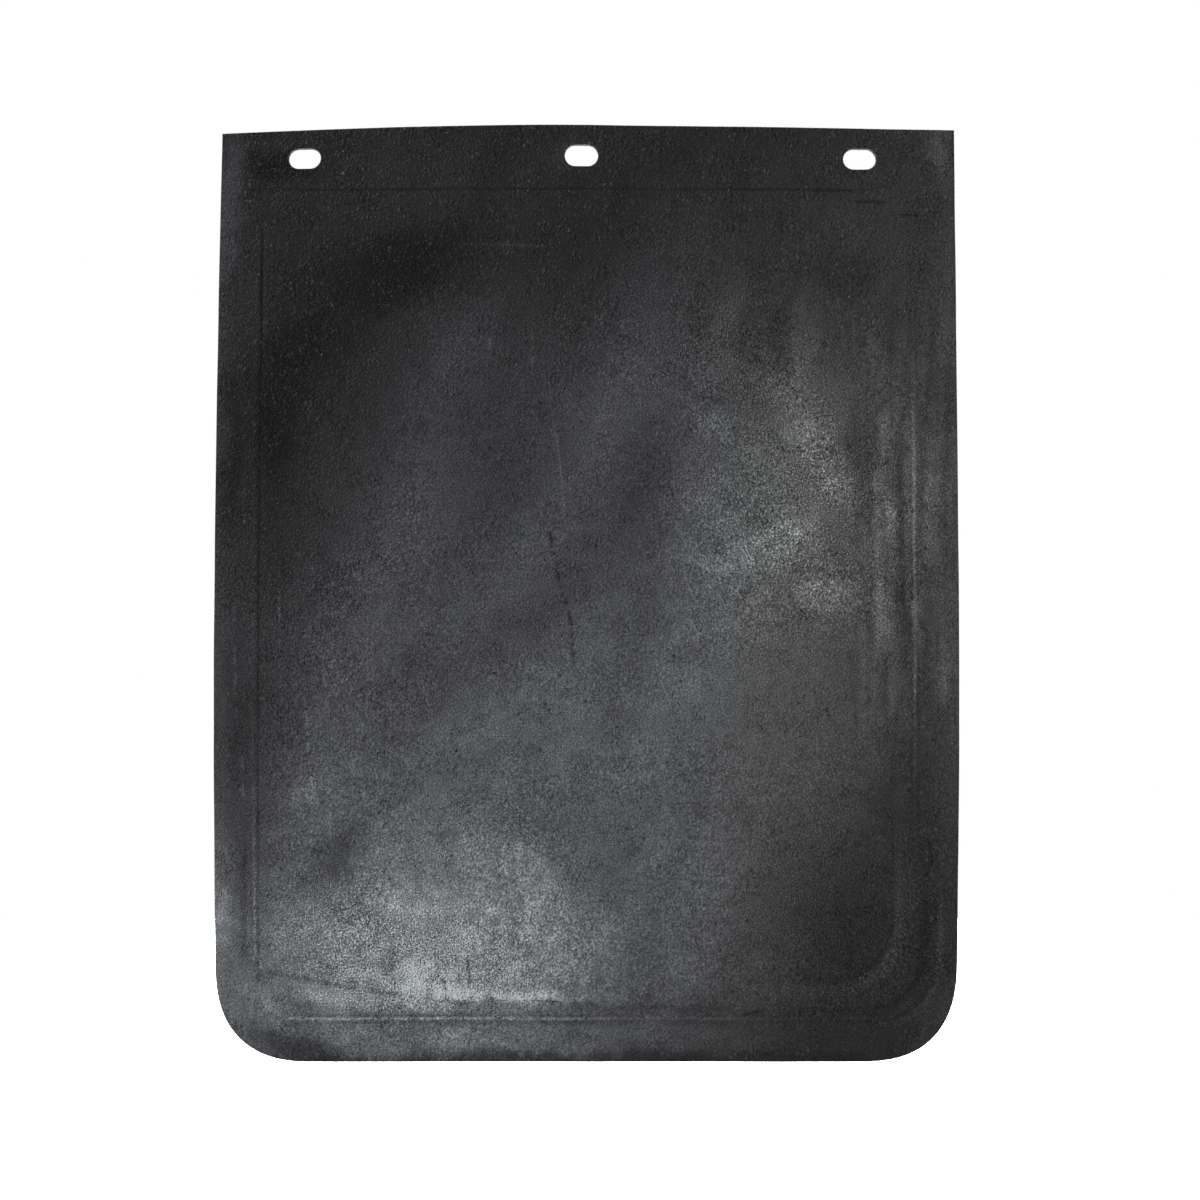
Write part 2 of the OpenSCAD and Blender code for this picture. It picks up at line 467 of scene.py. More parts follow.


# ---- Haze and sheen: where pale bloom and dust lie on the rubber, and the painted sheen of the lights on it

# Each patch: middle as shares of width and height, reach along and across in mm, tilt in degrees,
# how crisp its edge is, and its strength.
# The front's pale patches are partly bloom and dust and partly painted sheen: broad reflections of the
# lights painted into the colour.
FRONT_HAZE_AND_SHEEN = [
    # the wide pale cast over the lower and right parts, painted sheen and bloom
    (0.5, 0.34, 310, 250, 25, 1, 0.31), (0.72, 0.42, 110, 190, 0, 1, 0.1),
    (0.22, 0.3, 130, 90, 30, 1.2, 0.1), (0.24, 0.57, 190, 34, 73, 1, 0.06),
    (0.5, 0.64, 150, 36, 65, 1, 0.05), (0.31, 0.76, 46, 30, 70, 1, 0.04),
    # the bright plate at the lower left, dust and painted sheen
    (0.28, 0.125, 164, 70, -4, 2.2, 0.29), (0.34, 0.066, 130, 8, 0, 1.4, 0.14),
    (0.34, 0.12, 74, 36, 5, 1.2, 0.08), (0.48, 0.14, 34, 44, 20, 2.2, 0.1),
    (0.28, 0.235, 62, 20, 5, 1.3, 0.08), (0.31, 0.08, 44, 15, -4, 1.6, 0.18),
    (0.42, 0.08, 50, 13, 0, 1.6, 0.1), (0.25, 0.15, 30, 22, 20, 1.4, 0.08),
    (0.38, 0.215, 40, 16, 0, 1.4, 0.09), (0.42, 0.205, 40, 18, -30, 1.3, 0.12),
    (0.1, 0.11, 46, 40, 30, 1.2, 0.14), (0.1, 0.06, 60, 16, -8, 1.2, 0.22),
    (0.13, 0.285, 16, 8, 30, 1, 0.16), (0.2, 0.09, 34, 8, -8, 1, 0.1),
    (0.4, 0.056, 60, 2.5, 1, 2, -0.1),
    # pale stretches of the border
    (0.36, 0.024, 190, 20, 0, 1.5, 0.28), (0.12, 0.036, 50, 12, -10, 1.5, 0.1),
    (0.04, 0.08, 22, 50, 20, 1.3, 0.22), (0, 0.16, 20, 66, 0, 1.2, 0.26),
    (0.94, 0.3, 30, 160, 0, 1.2, 0.05), (0.965, 0.6, 12, 70, 0, 1.3, 0.08),
    # the scuffed patch at the right, scuffed bloom and painted sheen
    (0.76, 0.6, 84, 100, 0, 1.2, 0.16), (0.69, 0.785, 40, 12, 75, 1.2, 0.11),
    (0.79, 0.77, 34, 12, 85, 1.2, 0.1), (0.935, 0.6, 92, 3, 90, 1.3, 0.08),
    # small pale places over the whole front, and the rubbed rims of its sides
    (0.92, 0.9, 110, 130, -30, 1.2, 0.1), (0.62, 0.8, 90, 60, 60, 1.2, 0.05),
    (0.95, 0.6, 50, 150, 0, 1.2, 0.07), (0.88, 0.56, 22, 60, 10, 1.3, 0.07),
    (1, 0.55, 20, 330, 0, 1.4, 0.1), (0, 0.8, 14, 150, 0, 1.4, 0.1),
    (0, 0.35, 12, 130, 0, 1.4, 0.07), (0.98, 0.05, 16, 50, -35, 1.4, 0.07),
    (0.943, 0.56, 110, 4.5, 90, 1.5, 0.07), (0, 0.07, 16, 50, 20, 1.3, 0.16),
    (0.48, 0.72, 60, 90, 70, 1.2, 0.05), (0.62, 0.16, 60, 80, 0, 1.3, 0.06),
    (0.56, 0.09, 100, 16, 0, 1.3, 0.05), (0.3, 0.07, 30, 10, -4, 1.6, 0.12),
    (0.43, 0.09, 30, 24, 0, 1.4, 0.07), (0.16, 0.07, 34, 18, -5, 1.3, 0.06),
    (0.12, 0.245, 50, 12, 10, 1.3, 0.06), (0.3, 0.012, 120, 9, 0, 1.4, 0.1),
    (0.3, 0.115, 30, 16, 10, 1.6, 0.11), (0.33, 0.068, 34, 9, -4, 1.8, 0.1),
    (0.22, 0.15, 30, 14, 20, 1.5, 0.06), (0.75, 0.725, 50, 16, 0, 1.4, 0.07),
    (0.48, 0.21, 16, 14, 0, 1.4, 0.06), (0.02, 0.9, 10, 40, 0, 1.4, 0.1),
    (0.04, 0.02, 30, 14, -40, 1.4, 0.08), (0.31, 0.062, 26, 9, -4, 1.8, 0.08),
    (0.36, 0.12, 16, 12, 0, 1.5, 0.08), (0.18, 0.04, 26, 7, -5, 1.5, 0.06),
    (0.42, 0.012, 50, 7, 0, 1.5, 0.06), (0.98, 0.98, 12, 30, 0, 1.4, 0.12),
    (0.02, 0.97, 10, 30, 0, 1.4, 0.1), (0.48, 0.975, 24, 12, 0, 1.4, 0.07),
    (0.12, 0.7, 18, 60, 10, 1.4, 0.05), (0.285, 0.09, 26, 15, -4, 1.8, 0.24),
    (0.415, 0.062, 46, 6, 1, 1.8, 0.15), (0.27, 0.06, 30, 6, 0, 1.8, 0.07),
    (0.19, 0.095, 26, 16, 0, 1.5, 0.07), (0.4, 0.172, 20, 14, 0, 1.5, 0.12),
    (0.35, 0.24, 12, 10, 0, 1.5, 0.1), (0.5, 0.1, 12, 14, 0, 1.5, 0.12),
    (0.24, 0.19, 30, 14, 0, 1.5, 0.05), (0.84, 0.7, 40, 26, 0, 1.4, 0.05),
    (0.78, 0.08, 110, 60, 0, 1.4, 0.03), (0.6, 0.72, 60, 60, 0, 1.4, 0.03),
    (0.3, 0.6, 60, 30, 60, 1.4, 0.04), (0.44, 0.062, 22, 7, 0, 1.5, 0.08),
    (0.38, 0.06, 12, 6, 0, 1.5, 0.13), (0.85, 0.74, 60, 40, 0, 1.4, 0.04),
    (0.8, 0.14, 90, 60, 0, 1.4, 0.02), (0.29, 0.1, 8, 10, 0, 1.5, 0.06),
    # bare, darker places
    (0.25, 0.1, 14, 10, 0, 1.5, -0.14), (0.34, 0.092, 22, 14, 0, 1.5, -0.17),
    (0.385, 0.078, 14, 7, 0, 1.5, -0.12), (0.43, 0.082, 16, 10, 0, 1.5, -0.14),
    (0.44, 0.12, 14, 12, 0, 1.5, -0.09), (0.235, 0.134, 9, 8, 0, 1.5, -0.12),
    (0.3, 0.134, 12, 8, 0, 1.5, -0.09), (0.19, 0.06, 14, 6, 0, 1.5, -0.08),
    (0.44, 0.042, 12, 6, 0, 1.5, -0.1), (0.32, 0.042, 24, 6, 0, 1.5, -0.06),
    (0.44, 0.165, 12, 16, 0, 1.5, -0.1), (0.17, 0.205, 10, 8, 0, 1.5, -0.1),
    (0.32, 0.24, 10, 8, 0, 1.5, -0.08), (0.62, 0.275, 36, 16, 0, 1.4, -0.06),
    (0.84, 0.845, 24, 16, 0, 1.4, -0.06), (0.66, 0.43, 16, 20, 0, 1.4, -0.05),
    (0.12, 0.18, 18, 10, 0, 1.4, -0.08), (0.12, 0.12, 14, 10, 0, 1.4, -0.08),
    (0.1, 0.06, 36, 7, -20, 1.4, -0.06), (0.02, 0.1, 8, 30, 0, 1.4, -0.1),
    (0.54, 0.36, 20, 90, -20, 1.3, -0.06), (0.94, 0.38, 12, 90, 0, 1.4, -0.06),
    (0.55, 0.105, 30, 18, 0, 1.4, -0.06), (0.02, 0.66, 10, 70, 0, 1.4, -0.08),
    (0.5, 0.018, 60, 8, 0, 1.4, -0.04), (0.08, 0.96, 30, 14, 0, 1.6, -0.16),
    (0.09, 0.71, 26, 60, -5, 2, -0.1), (0.24, 0.84, 44, 28, 30, 1.8, -0.08),
    (0.15, 0.77, 24, 34, -20, 1.6, -0.08), (0.84, 0.64, 24, 16, -40, 1.8, -0.1),
    (0.27, 0.42, 36, 16, 45, 1.5, -0.07), (0.33, 0.315, 60, 12, 15, 1.5, -0.06),
    (0.74, 0.36, 60, 90, 0, 1.4, -0.04), (0.26, 0.85, 86, 34, 10, 1.2, -0.08),
    (0.1, 0.66, 110, 36, 85, 1.2, -0.09), (0.36, 0.42, 90, 24, 40, 1.3, -0.1),
    (0.07, 0.35, 46, 60, -20, 1.3, -0.08), (0.22, 0.36, 60, 40, 0, 1.3, -0.05),
    (0.91, 0.28, 18, 60, 5, 1.4, -0.08), (0.5, 0.55, 90, 22, 50, 1.2, -0.06),
    (0.78, 0.585, 30, 14, 30, 1.4, -0.07), (0.48, 0.16, 26, 26, 0, 1.5, -0.1),
    (0.1, 0.07, 30, 14, -35, 1.4, -0.16), (0.05, 0.11, 20, 22, 0, 1.4, -0.1),
    (0.48, 0.04, 110, 5, 0, 1.4, -0.05), (0.55, 0.5, 60, 40, 50, 1.2, -0.06),
    (0.58, 0.62, 26, 60, 0, 1.2, -0.05), (0.165, 0.215, 32, 14, 55, 1.2, -0.07),
    (0.84, 0.14, 72, 90, 0, 1.2, -0.15), (0.97, 0.25, 26, 90, 0, 1.2, -0.06),
    (0.55, 0, 250, 6, 0, 1.4, -0.08),
]

# Smears and painted sheen with a firmer edge, in the same form. They wander less than the haze does.
FRONT_SMEARS_AND_SHEEN = [
    # the scuffed patch at the right, scuffed bloom and painted sheen, from its top down to its foot
    (0.79, 0.67, 36, 24, 105, 2, 0.12), (0.83, 0.64, 38, 18, -52, 2, 0.13),
    (0.75, 0.63, 20, 16, 0, 2, 0.06), (0.79, 0.585, 42, 16, 37, 2, 0.12),
    (0.735, 0.548, 36, 16, 25, 2, 0.13), (0.82, 0.5, 24, 14, 0, 2, 0.15),
    # two faint smears to its left
    (0.665, 0.53, 16, 8, -30, 2, 0.1), (0.67, 0.68, 14, 14, 0, 2, 0.11),
    # upright smears between it and the frame line, and strips along and beside the line: the pale ones
    # on the line are painted highlight on its lit step
    (0.9, 0.67, 24, 6, 95, 2, 0.13), (0.895, 0.62, 14, 7, 80, 2, 0.1),
    (0.908, 0.578, 20, 7, 100, 2, 0.14), (0.895, 0.475, 28, 7, 90, 2, 0.13),
    (0.941, 0.655, 24, 4, 90, 2, 0.1), (0.941, 0.575, 28, 4, 90, 2, 0.08),
    (0.941, 0.475, 18, 4, 90, 2, 0.09), (0.926, 0.53, 130, 4, 90, 3, -0.05),
    (0.87, 0.575, 55, 5, 90, 2, -0.07), (0.965, 0.62, 50, 6, 90, 2, 0.07),
    (0.99, 0.56, 50, 5, 90, 2, -0.07),
    # the plate at the lower left, dust and painted sheen: its bright middle, its veil, its lobe and the
    # strip under the crease
    (0.28, 0.095, 80, 24, -3, 2.5, 0.11), (0.25, 0.145, 100, 30, 5, 2, 0.05),
    (0.455, 0.165, 20, 22, 0, 2, 0.06), (0.17, 0.07, 66, 9, -7, 2.5, 0.1),
    # pale spots on the border below and beside it
    (0.325, 0.024, 22, 10, 0, 2.5, 0.12), (0.013, 0.16, 20, 5, 90, 2.5, 0.12),
    # bare places
    (0.16, 0.225, 34, 13, 50, 2, -0.1), (0.235, 0.105, 12, 11, 0, 2, -0.12),
    (0.105, 0.018, 48, 8, -15, 2.5, -0.14), (0.605, 0.056, 70, 2.2, 0, 3, -0.06),
    (0.041, 0.16, 52, 3.5, 90, 3, -0.09),
]

# Where the front is scuffed, in the same form as the haze.
SCUFFED = [
    (0.45, 0.36, 340, 300, 0, 1.2, 0.12), (0.26, 0.095, 120, 52, -4, 1.6, 0.5),
    (0.3, 0.16, 150, 80, -4, 1.6, 0.22), (0.79, 0.59, 84, 110, 0, 1.6, 0.45),
    (0.93, 0.55, 30, 130, 0, 1.2, 0.2), (0.68, 0.75, 120, 60, -30, 1.4, 0.4),
    (0.88, 0.12, 90, 110, 0, 1.6, 0.5), (0.13, 0.5, 60, 150, 0, 1.4, 0.25),
    (0.8, 0.69, 40, 30, 0, 1.5, -0.3),
]

# The back's dust, in the same form.
REAR_HAZE = [
    (0.5, 0.45, 300, 300, -25, 1, 0.3), (0.3, 0.25, 120, 100, 20, 1.3, 0.2),
    (0.74, 0.66, 100, 130, -30, 1.3, 0.18), (0.8, 0.12, 86, 60, 0, 1.3, 0.14),
    (0.2, 0.75, 120, 60, 40, 1.3, -0.08),
]


def haze_and_sheen(x, z, patches, firm_patches, seed):
    """How much bloom and painted sheen lies at each point: 0 is bare black rubber, 1 is a pale patch."""
    large = 9 * MM * fractal(x, z, 0.06, seed) + 5 * MM * fractal(x, z, 0.018, seed + 5)
    across = 9 * MM * fractal(x, z, 0.06, seed + 20) + 5 * MM * fractal(x, z, 0.018, seed + 25)
    ragged = 2.5 * MM * noise(x, z, 0.006, seed + 9)
    total = BASE_HAZE_AND_SHEEN + patches_sum(x + large + ragged, z + across - ragged, patches)
    total += patches_sum(x + 0.3 * large + ragged, z + 0.3 * across - ragged, firm_patches)
    total += 0.035 * streaks(x, z, 68, 0.035, 4.0, seed + 40)
    total += total**3 * 0.3 * fractal(x, z, 0.03, seed + 50)
    total += total**3 * 0.22 * noise(x, z, 0.007, seed + 60)
    return np.clip(total, 0, HAZE_AND_SHEEN_LIMIT)


def front_haze_and_sheen(x, z):
    """The front's bloom and painted sheen, thinner on the lower border and lost in the marks. On the
    frame line's step the colour carries painted light: a painted highlight where the step faces the key
    light and painted shade where it faces away, with painted shade on the lip outside it and a darker
    band at its foot.
    """
    total = haze_and_sheen(x, z, FRONT_HAZE_AND_SHEEN, FRONT_SMEARS_AND_SHEEN, 101)
    inside = distance_to_box(x, z, PANEL_SIDE, PANEL_BOTTOM, PANEL_TOP, PANEL_R)
    total *= 1 - 0.16 * smooth(inside, 1.5 * MM, -1.5 * MM) * smooth(z, MIDDLE_Z, BOTTOM)
    beside = smooth(x - MIDDLE_X, 0.205, 0.225) * smooth(np.abs(z - MIDDLE_Z - 0.05), 0.21, 0.13)
    total += 0.11 * beside * streaks(x, z, 90, 0.006, 12, 181)
    strength = line_strength(x, z)
    # Which stretches of the frame line face the key light from the upper left: the right side and the
    # bottom, not the top.
    wear_and_lit_side = smooth(x - MIDDLE_X, -0.2, -0.1) + smooth(z, BOTTOM + 0.08, BOTTOM + 0.05)
    wear_and_lit_side = np.clip(wear_and_lit_side, 0, 1) * smooth(z, TOP - 0.06, TOP - 0.1)
    # Bands across the frame line: a darker band at the foot just inside the step, the step itself, and
    # painted shade on the rounded lip just outside it.
    foot = np.exp(-(((inside - 2.8 * MM) / (1.2 * MM)) ** 2))
    step = np.exp(-(((inside - 0.2 * MM) / (0.9 * MM)) ** 2))
    lip_shade = np.exp(-(((inside + 2.6 * MM) / (1.3 * MM)) ** 2))
    # Lit stretches: a painted highlight on the step, darker at its foot, painted shade on the lip.
    total *= 1 + strength * wear_and_lit_side * (0.36 * step - 0.2 * foot - 0.16 * lip_shade)
    # Stretches facing away from the key light: painted shade on the step.
    total *= 1 - strength * (1 - wear_and_lit_side) * 0.55 * step
    for mark in MARKS:
        _, _, _, lost, _ = mark
        total *= 1 - lost * mark_shown(x, z, mark, 1.2)
    for line in GHOST_LINES:
        _, _, _, _, _, gained, _, _ = line
        total += gained * ghost(x, z, line)
    return np.clip(total, 0, HAZE_AND_SHEEN_LIMIT)


def front_scuff(x, z):
    """Where the bloom is broken into fine speckle, from 0 to 1."""
    return np.clip(patches_sum(x, z, SCUFFED) + 0.25 * fractal(x, z, 0.05, 171), 0, 1)


def rear_haze(x, z):
    """The back's dust."""
    return haze_and_sheen(x, z, REAR_HAZE, [], 301)


def rear_scuff(x, z):
    """The back's speckle."""
    return np.clip(0.4 + 0.4 * fractal(x, z, 0.06, 371), 0, 1)


# ---- Building closed layers


def field_points(inset, step, allowed):
    """Points in staggered rows inside the outline, clear of its edge and the slots, where allowed."""
    rows = int((HEIGHT - 2 * inset) / (step * ROW_RISE))
    cols = int((WIDTH - 2 * inset) / step)
    x, z = np.meshgrid(np.arange(cols + 1) * step, np.arange(rows + 1) * step * ROW_RISE)
    x[1::2] += step / 2
    x = x.ravel() + LEFT + inset
    z = z.ravel() + BOTTOM + inset
    radius = CORNER_R - inset
    qx = np.clip((np.abs(x - MIDDLE_X) - WIDTH / 2 + inset + radius) / radius, 0, None)
    qz = np.clip((BOTTOM + inset + radius - z) / radius, 0, None)
    to_corner = (1 - (qx**CORNER_POWER + qz**CORNER_POWER) ** (1 / CORNER_POWER)) * radius
    to_side = np.minimum(WIDTH / 2 - inset - np.abs(x - MIDDLE_X), TOP - inset - z)
    to_side = np.minimum(to_side, z - BOTTOM - inset)
    clear = (np.minimum(to_corner, to_side) > 0.55 * step) & allowed(x, z)
    for centre in SLOT_CENTRES:
        from_middle = np.hypot(np.maximum(np.abs(x - centre) - SLOT_STRAIGHT, 0), z)
        clear &= from_middle > SLOT_R + SLOT_CLEAR + 0.5 * step
    return np.column_stack([x[clear], z[clear]])


def slot_ring_points(step):
    """Rings of points round each slot, which grade from its close outline to the open field."""
    rows = []
    grow = 2.2 * MM
    while grow < min(SLOT_CLEAR + 0.5 * step, 5.2 * MM):
        rows += [slot_loop(centre, grow)[::2] for centre in SLOT_CENTRES]
        grow += 1.6 * MM
    return rows


def everywhere(x, z):
    """Allows every place."""
    return np.ones(x.shape, bool)


def front_field():
    """The front's mesh points: the open field, and close rows along the frame line and each mark."""
    panel_rows = [-5, -3.6, -2.6, -1.6, -0.6, 0, 0.5, 1, 1.5, 2, 2.8, 4]
    rows = [panel_line(offset * MM) for offset in panel_rows]
    paths = []
    for points, half_width, _, _, _ in MARKS:
        if half_width < 1.2:
            path = mark_points(points)
            offsets = [k * 0.7 * half_width * MM for k in (-2, -1, 0, 1, 2)]
            rows.append(strip_of(path, offsets, 1.2 * MM))
            paths.append((path, 2.4 * half_width * MM))

    def off_lines(x, z):
        inside = distance_to_box(x, z, PANEL_SIDE, PANEL_BOTTOM, PANEL_TOP, PANEL_R)
        clear = (inside < -6.2 * MM) | (inside > 5.2 * MM)
        for path, reach in paths:
            clear &= distance_to_path(x, z, path) > reach
        return clear

    return rows + [field_points(EDGE_ROUND, FIELD_STEP, off_lines)]


def plain_field(inset, step):
    """A plain face's mesh points."""
    return slot_ring_points(step) + [field_points(inset, step, everywhere)]


def triangulate(loops, loose):
    """Triangles over the outer loop, less the slots. The loops' points come first, then loose ones."""
    points = np.vstack(loops + loose)
    edges = []
    start = 0
    for loop in loops:
        count = len(loop)
        edges += [(start + k, start + (k + 1) % count) for k in range(count)]
        start += count
    in_mm = [Vector((px, pz)) for px, pz in (points / MM).tolist()]
    made = delaunay_2d_cdt(in_mm, edges, [], 0, 1e-5)
    origin = [source[0] if source else -1 for source in made[3]]
    faces = np.array([[origin[v] for v in face] for face in made[2]])
    faces = faces[(faces >= 0).all(1)]
    a, b, c = (points[faces[:, k]] for k in range(3))
    area = np.abs((b - a)[:, 0] * (c - a)[:, 1] - (b - a)[:, 1] * (c - a)[:, 0])
    longest = np.max([np.linalg.norm(side, axis=1) for side in (b - a, c - b, a - c)], axis=0)
    start = len(loops[0])
    keep = (area / longest > 0.01 * MM) | (faces >= start).any(1)
    for loop in loops[1:]:
        on_rim = ((faces >= start) & (faces < start + len(loop))).all(1)
        keep[on_rim] &= ~inside_loop(points[faces[on_rim]].mean(1), loop)
        start += len(loop)
    return points, faces[keep]


class Layer:
    """A closed sheet with slots, gathered face by face."""

    def __init__(self):
        self.points = []
        self.faces = []
        self.slots = []
        self.count = 0

    def add(self, flat, y, relief):
        """Adds points at depth y. relief says how much of the face's relief each one takes."""
        start = self.count
        depths, shares = np.full(len(flat), y), np.full(len(flat), relief)
        self.points.append(np.column_stack([flat[:, 0], flat[:, 1], depths, shares]))
        self.count += len(flat)
        return np.arange(start, self.count)

    def cap(self, loops, loose, y, relief, slot):
        """A flat face over the loops. Returns each loop's point numbers."""
        points, faces = triangulate(loops, loose)
        numbers = self.add(points, y, relief)
        self.faces += (faces + numbers[0]).tolist()
        self.slots += [slot] * len(faces)
        sizes = np.cumsum([0] + [len(loop) for loop in loops])
        return [numbers[a:b] for a, b in zip(sizes, sizes[1:])]

    def wall(self, first, second, slot):
        """A strip of quads between two loops of the same length."""
        quads = np.column_stack([first, np.roll(first, -1), np.roll(second, -1), second])
        self.faces += quads.tolist()
        self.slots += [slot] * len(quads)

    def tube(self, shapes, profile, first, last, slot):
        """Walls from loop first to loop last, through a row of loops at the profile's inner places."""
        previous = first
        for shape, (_, y, relief) in zip(shapes, profile[1:-1]):
            following = self.add(shape, y, relief)
            self.wall(previous, following, slot)
            previous = following
        self.wall(previous, last, slot)


def build_layer(name, outer, slot, front_points, back_points, relief, marks):
    """One closed layer. outer and slot are profiles from front to back: rows of (inset or grow, y,
    share of relief). Slot walls and hidden faces take slot 1. marks holds a function of x and z for
    each value that the materials read."""
    layer = Layer()
    hidden_front = outer[0][2] == 0
    hidden_back = outer[-1][2] == 0
    ends = []
    for place, loose, hidden in ((0, front_points, hidden_front), (-1, back_points, hidden_back)):
        loops = [outline(outer[place][0])]
        loops += [slot_loop(centre, slot[place][0]) for centre in SLOT_CENTRES]
        ends.append(layer.cap(loops, loose, outer[place][1], outer[place][2], int(hidden)))
    inner = [outline(inset) for inset, _, _ in outer[1:-1]]
    layer.tube(inner, outer, ends[0][0], ends[1][0], 0)
    for k, centre in enumerate(SLOT_CENTRES):
        inner = [slot_loop(centre, grow) for grow, _, _ in slot[1:-1]]
        layer.tube(inner, slot, ends[0][k + 1], ends[1][k + 1], 1)
    x, z, y, share = np.vstack(layer.points).T
    placed_x, placed_z = warp(x, z)
    placed_y = y + bow(x, z) + share * relief(x, z)
    mesh = bpy.data.meshes.new(name)
    mesh.from_pydata(np.column_stack([placed_x, placed_y, placed_z]).tolist(), [], layer.faces)
    mesh.polygons.foreach_set("material_index", np.array(layer.slots, np.int32))
    for kind, value_at in marks.items():
        values = mesh.attributes.new(kind, "FLOAT", "POINT")
        values.data.foreach_set("value", value_at(x, z).astype(np.float32))
    close_up = bmesh.new()
    close_up.from_mesh(mesh)
    bmesh.ops.recalc_face_normals(close_up, faces=close_up.faces)
    close_up.to_mesh(mesh)
    close_up.free()
    mesh.shade_smooth()
    mesh.set_sharp_from_angle(angle=math.radians(SHARP_ANGLE))
    piece = bpy.data.objects.new(name, mesh)
    bpy.context.scene.collection.objects.link(piece)
    return piece


def rounded_profile(offset, round_over, face_y, inward, relief):
    """The quarter round from a face to a wall: rows of (inset or grow, y, share of relief)."""
    rows = []
    for turn in ROUND_TURNS:
        a = math.radians(turn)
        drop = round_over * (1 - math.cos(a))
        place = offset + round_over * (1 - math.sin(a))
        rows.append((place, face_y + inward * drop, relief * (1 - turn / 90)))
    return rows


# ---- The five layers


def outward_front(x, z):
    """The front's relief as a move along Y: outward is towards -Y."""
    return -front_relief(x, z)


def make_front_cover():
    """The front rubber, rounded over at its face and with a pocket for the carcass behind."""
    outer = rounded_profile(0, EDGE_ROUND, FRONT_Y, 1, 1)
    outer += [
        (0, PARTING_Y - FLASH_START, 0),
        (-FLASH, PARTING_Y - FLASH_END, 0),
        (-FLASH, PARTING_Y, 0),
        (RIM, PARTING_Y, 0),
        (RIM, PLY_LOW.y, 0),
    ]
    slot = rounded_profile(SLOT_GROW, SLOT_ROUND, FRONT_Y, 1, 1)
    slot += [(SLOT_GROW, PLY_LOW.y, 0)]
    hidden = plain_field(RIM, HIDDEN_STEP)
    # The bloom map holds the front's dust and its painted sheen.
    marks = {"bloom_and_sheen": front_haze_and_sheen, "scuff": front_scuff}
    return build_layer("front_cover_skin", outer, slot, front_field(), hidden, outward_front, marks)


def make_rear_cover():
    """The rear rubber, with its pocket in front and rounded over at the back."""
    outer = [
        (RIM, REAR_PLY_HIGH.y, 0),
        (RIM, PARTING_Y, 0),
        (-FLASH, PARTING_Y, 0),
        (-FLASH, PARTING_Y + FLASH_END, 0),
        (0, PARTING_Y + FLASH_START, 0),
    ]
    outer += rounded_profile(0, EDGE_ROUND, BACK_Y, -1, 1)[::-1]
    slot = [(SLOT_GROW, REAR_PLY_HIGH.y, 0)]
    slot += rounded_profile(SLOT_GROW, SLOT_ROUND, BACK_Y, -1, 1)[::-1]
    hidden, back = plain_field(RIM, HIDDEN_STEP), plain_field(EDGE_ROUND, REAR_STEP)
    marks = {"bloom_and_sheen": rear_haze, "scuff": rear_scuff}
    return build_layer("rear_cover_skin", outer, slot, hidden, back, rear_relief, marks)


def make_inner_layer(name, low, high, grow):
    """A layer of the carcass. grow lets its cut edge stand into the slots or back from them."""
    outer = [(RIM, low.y, 0), (RIM, high.y, 0)]
    slot = [(grow, low.y, 0), (grow, high.y, 0)]
    points = plain_field(RIM, HIDDEN_STEP)
    return build_layer(name, outer, slot, points, points, rear_relief, {})


# ---- Materials


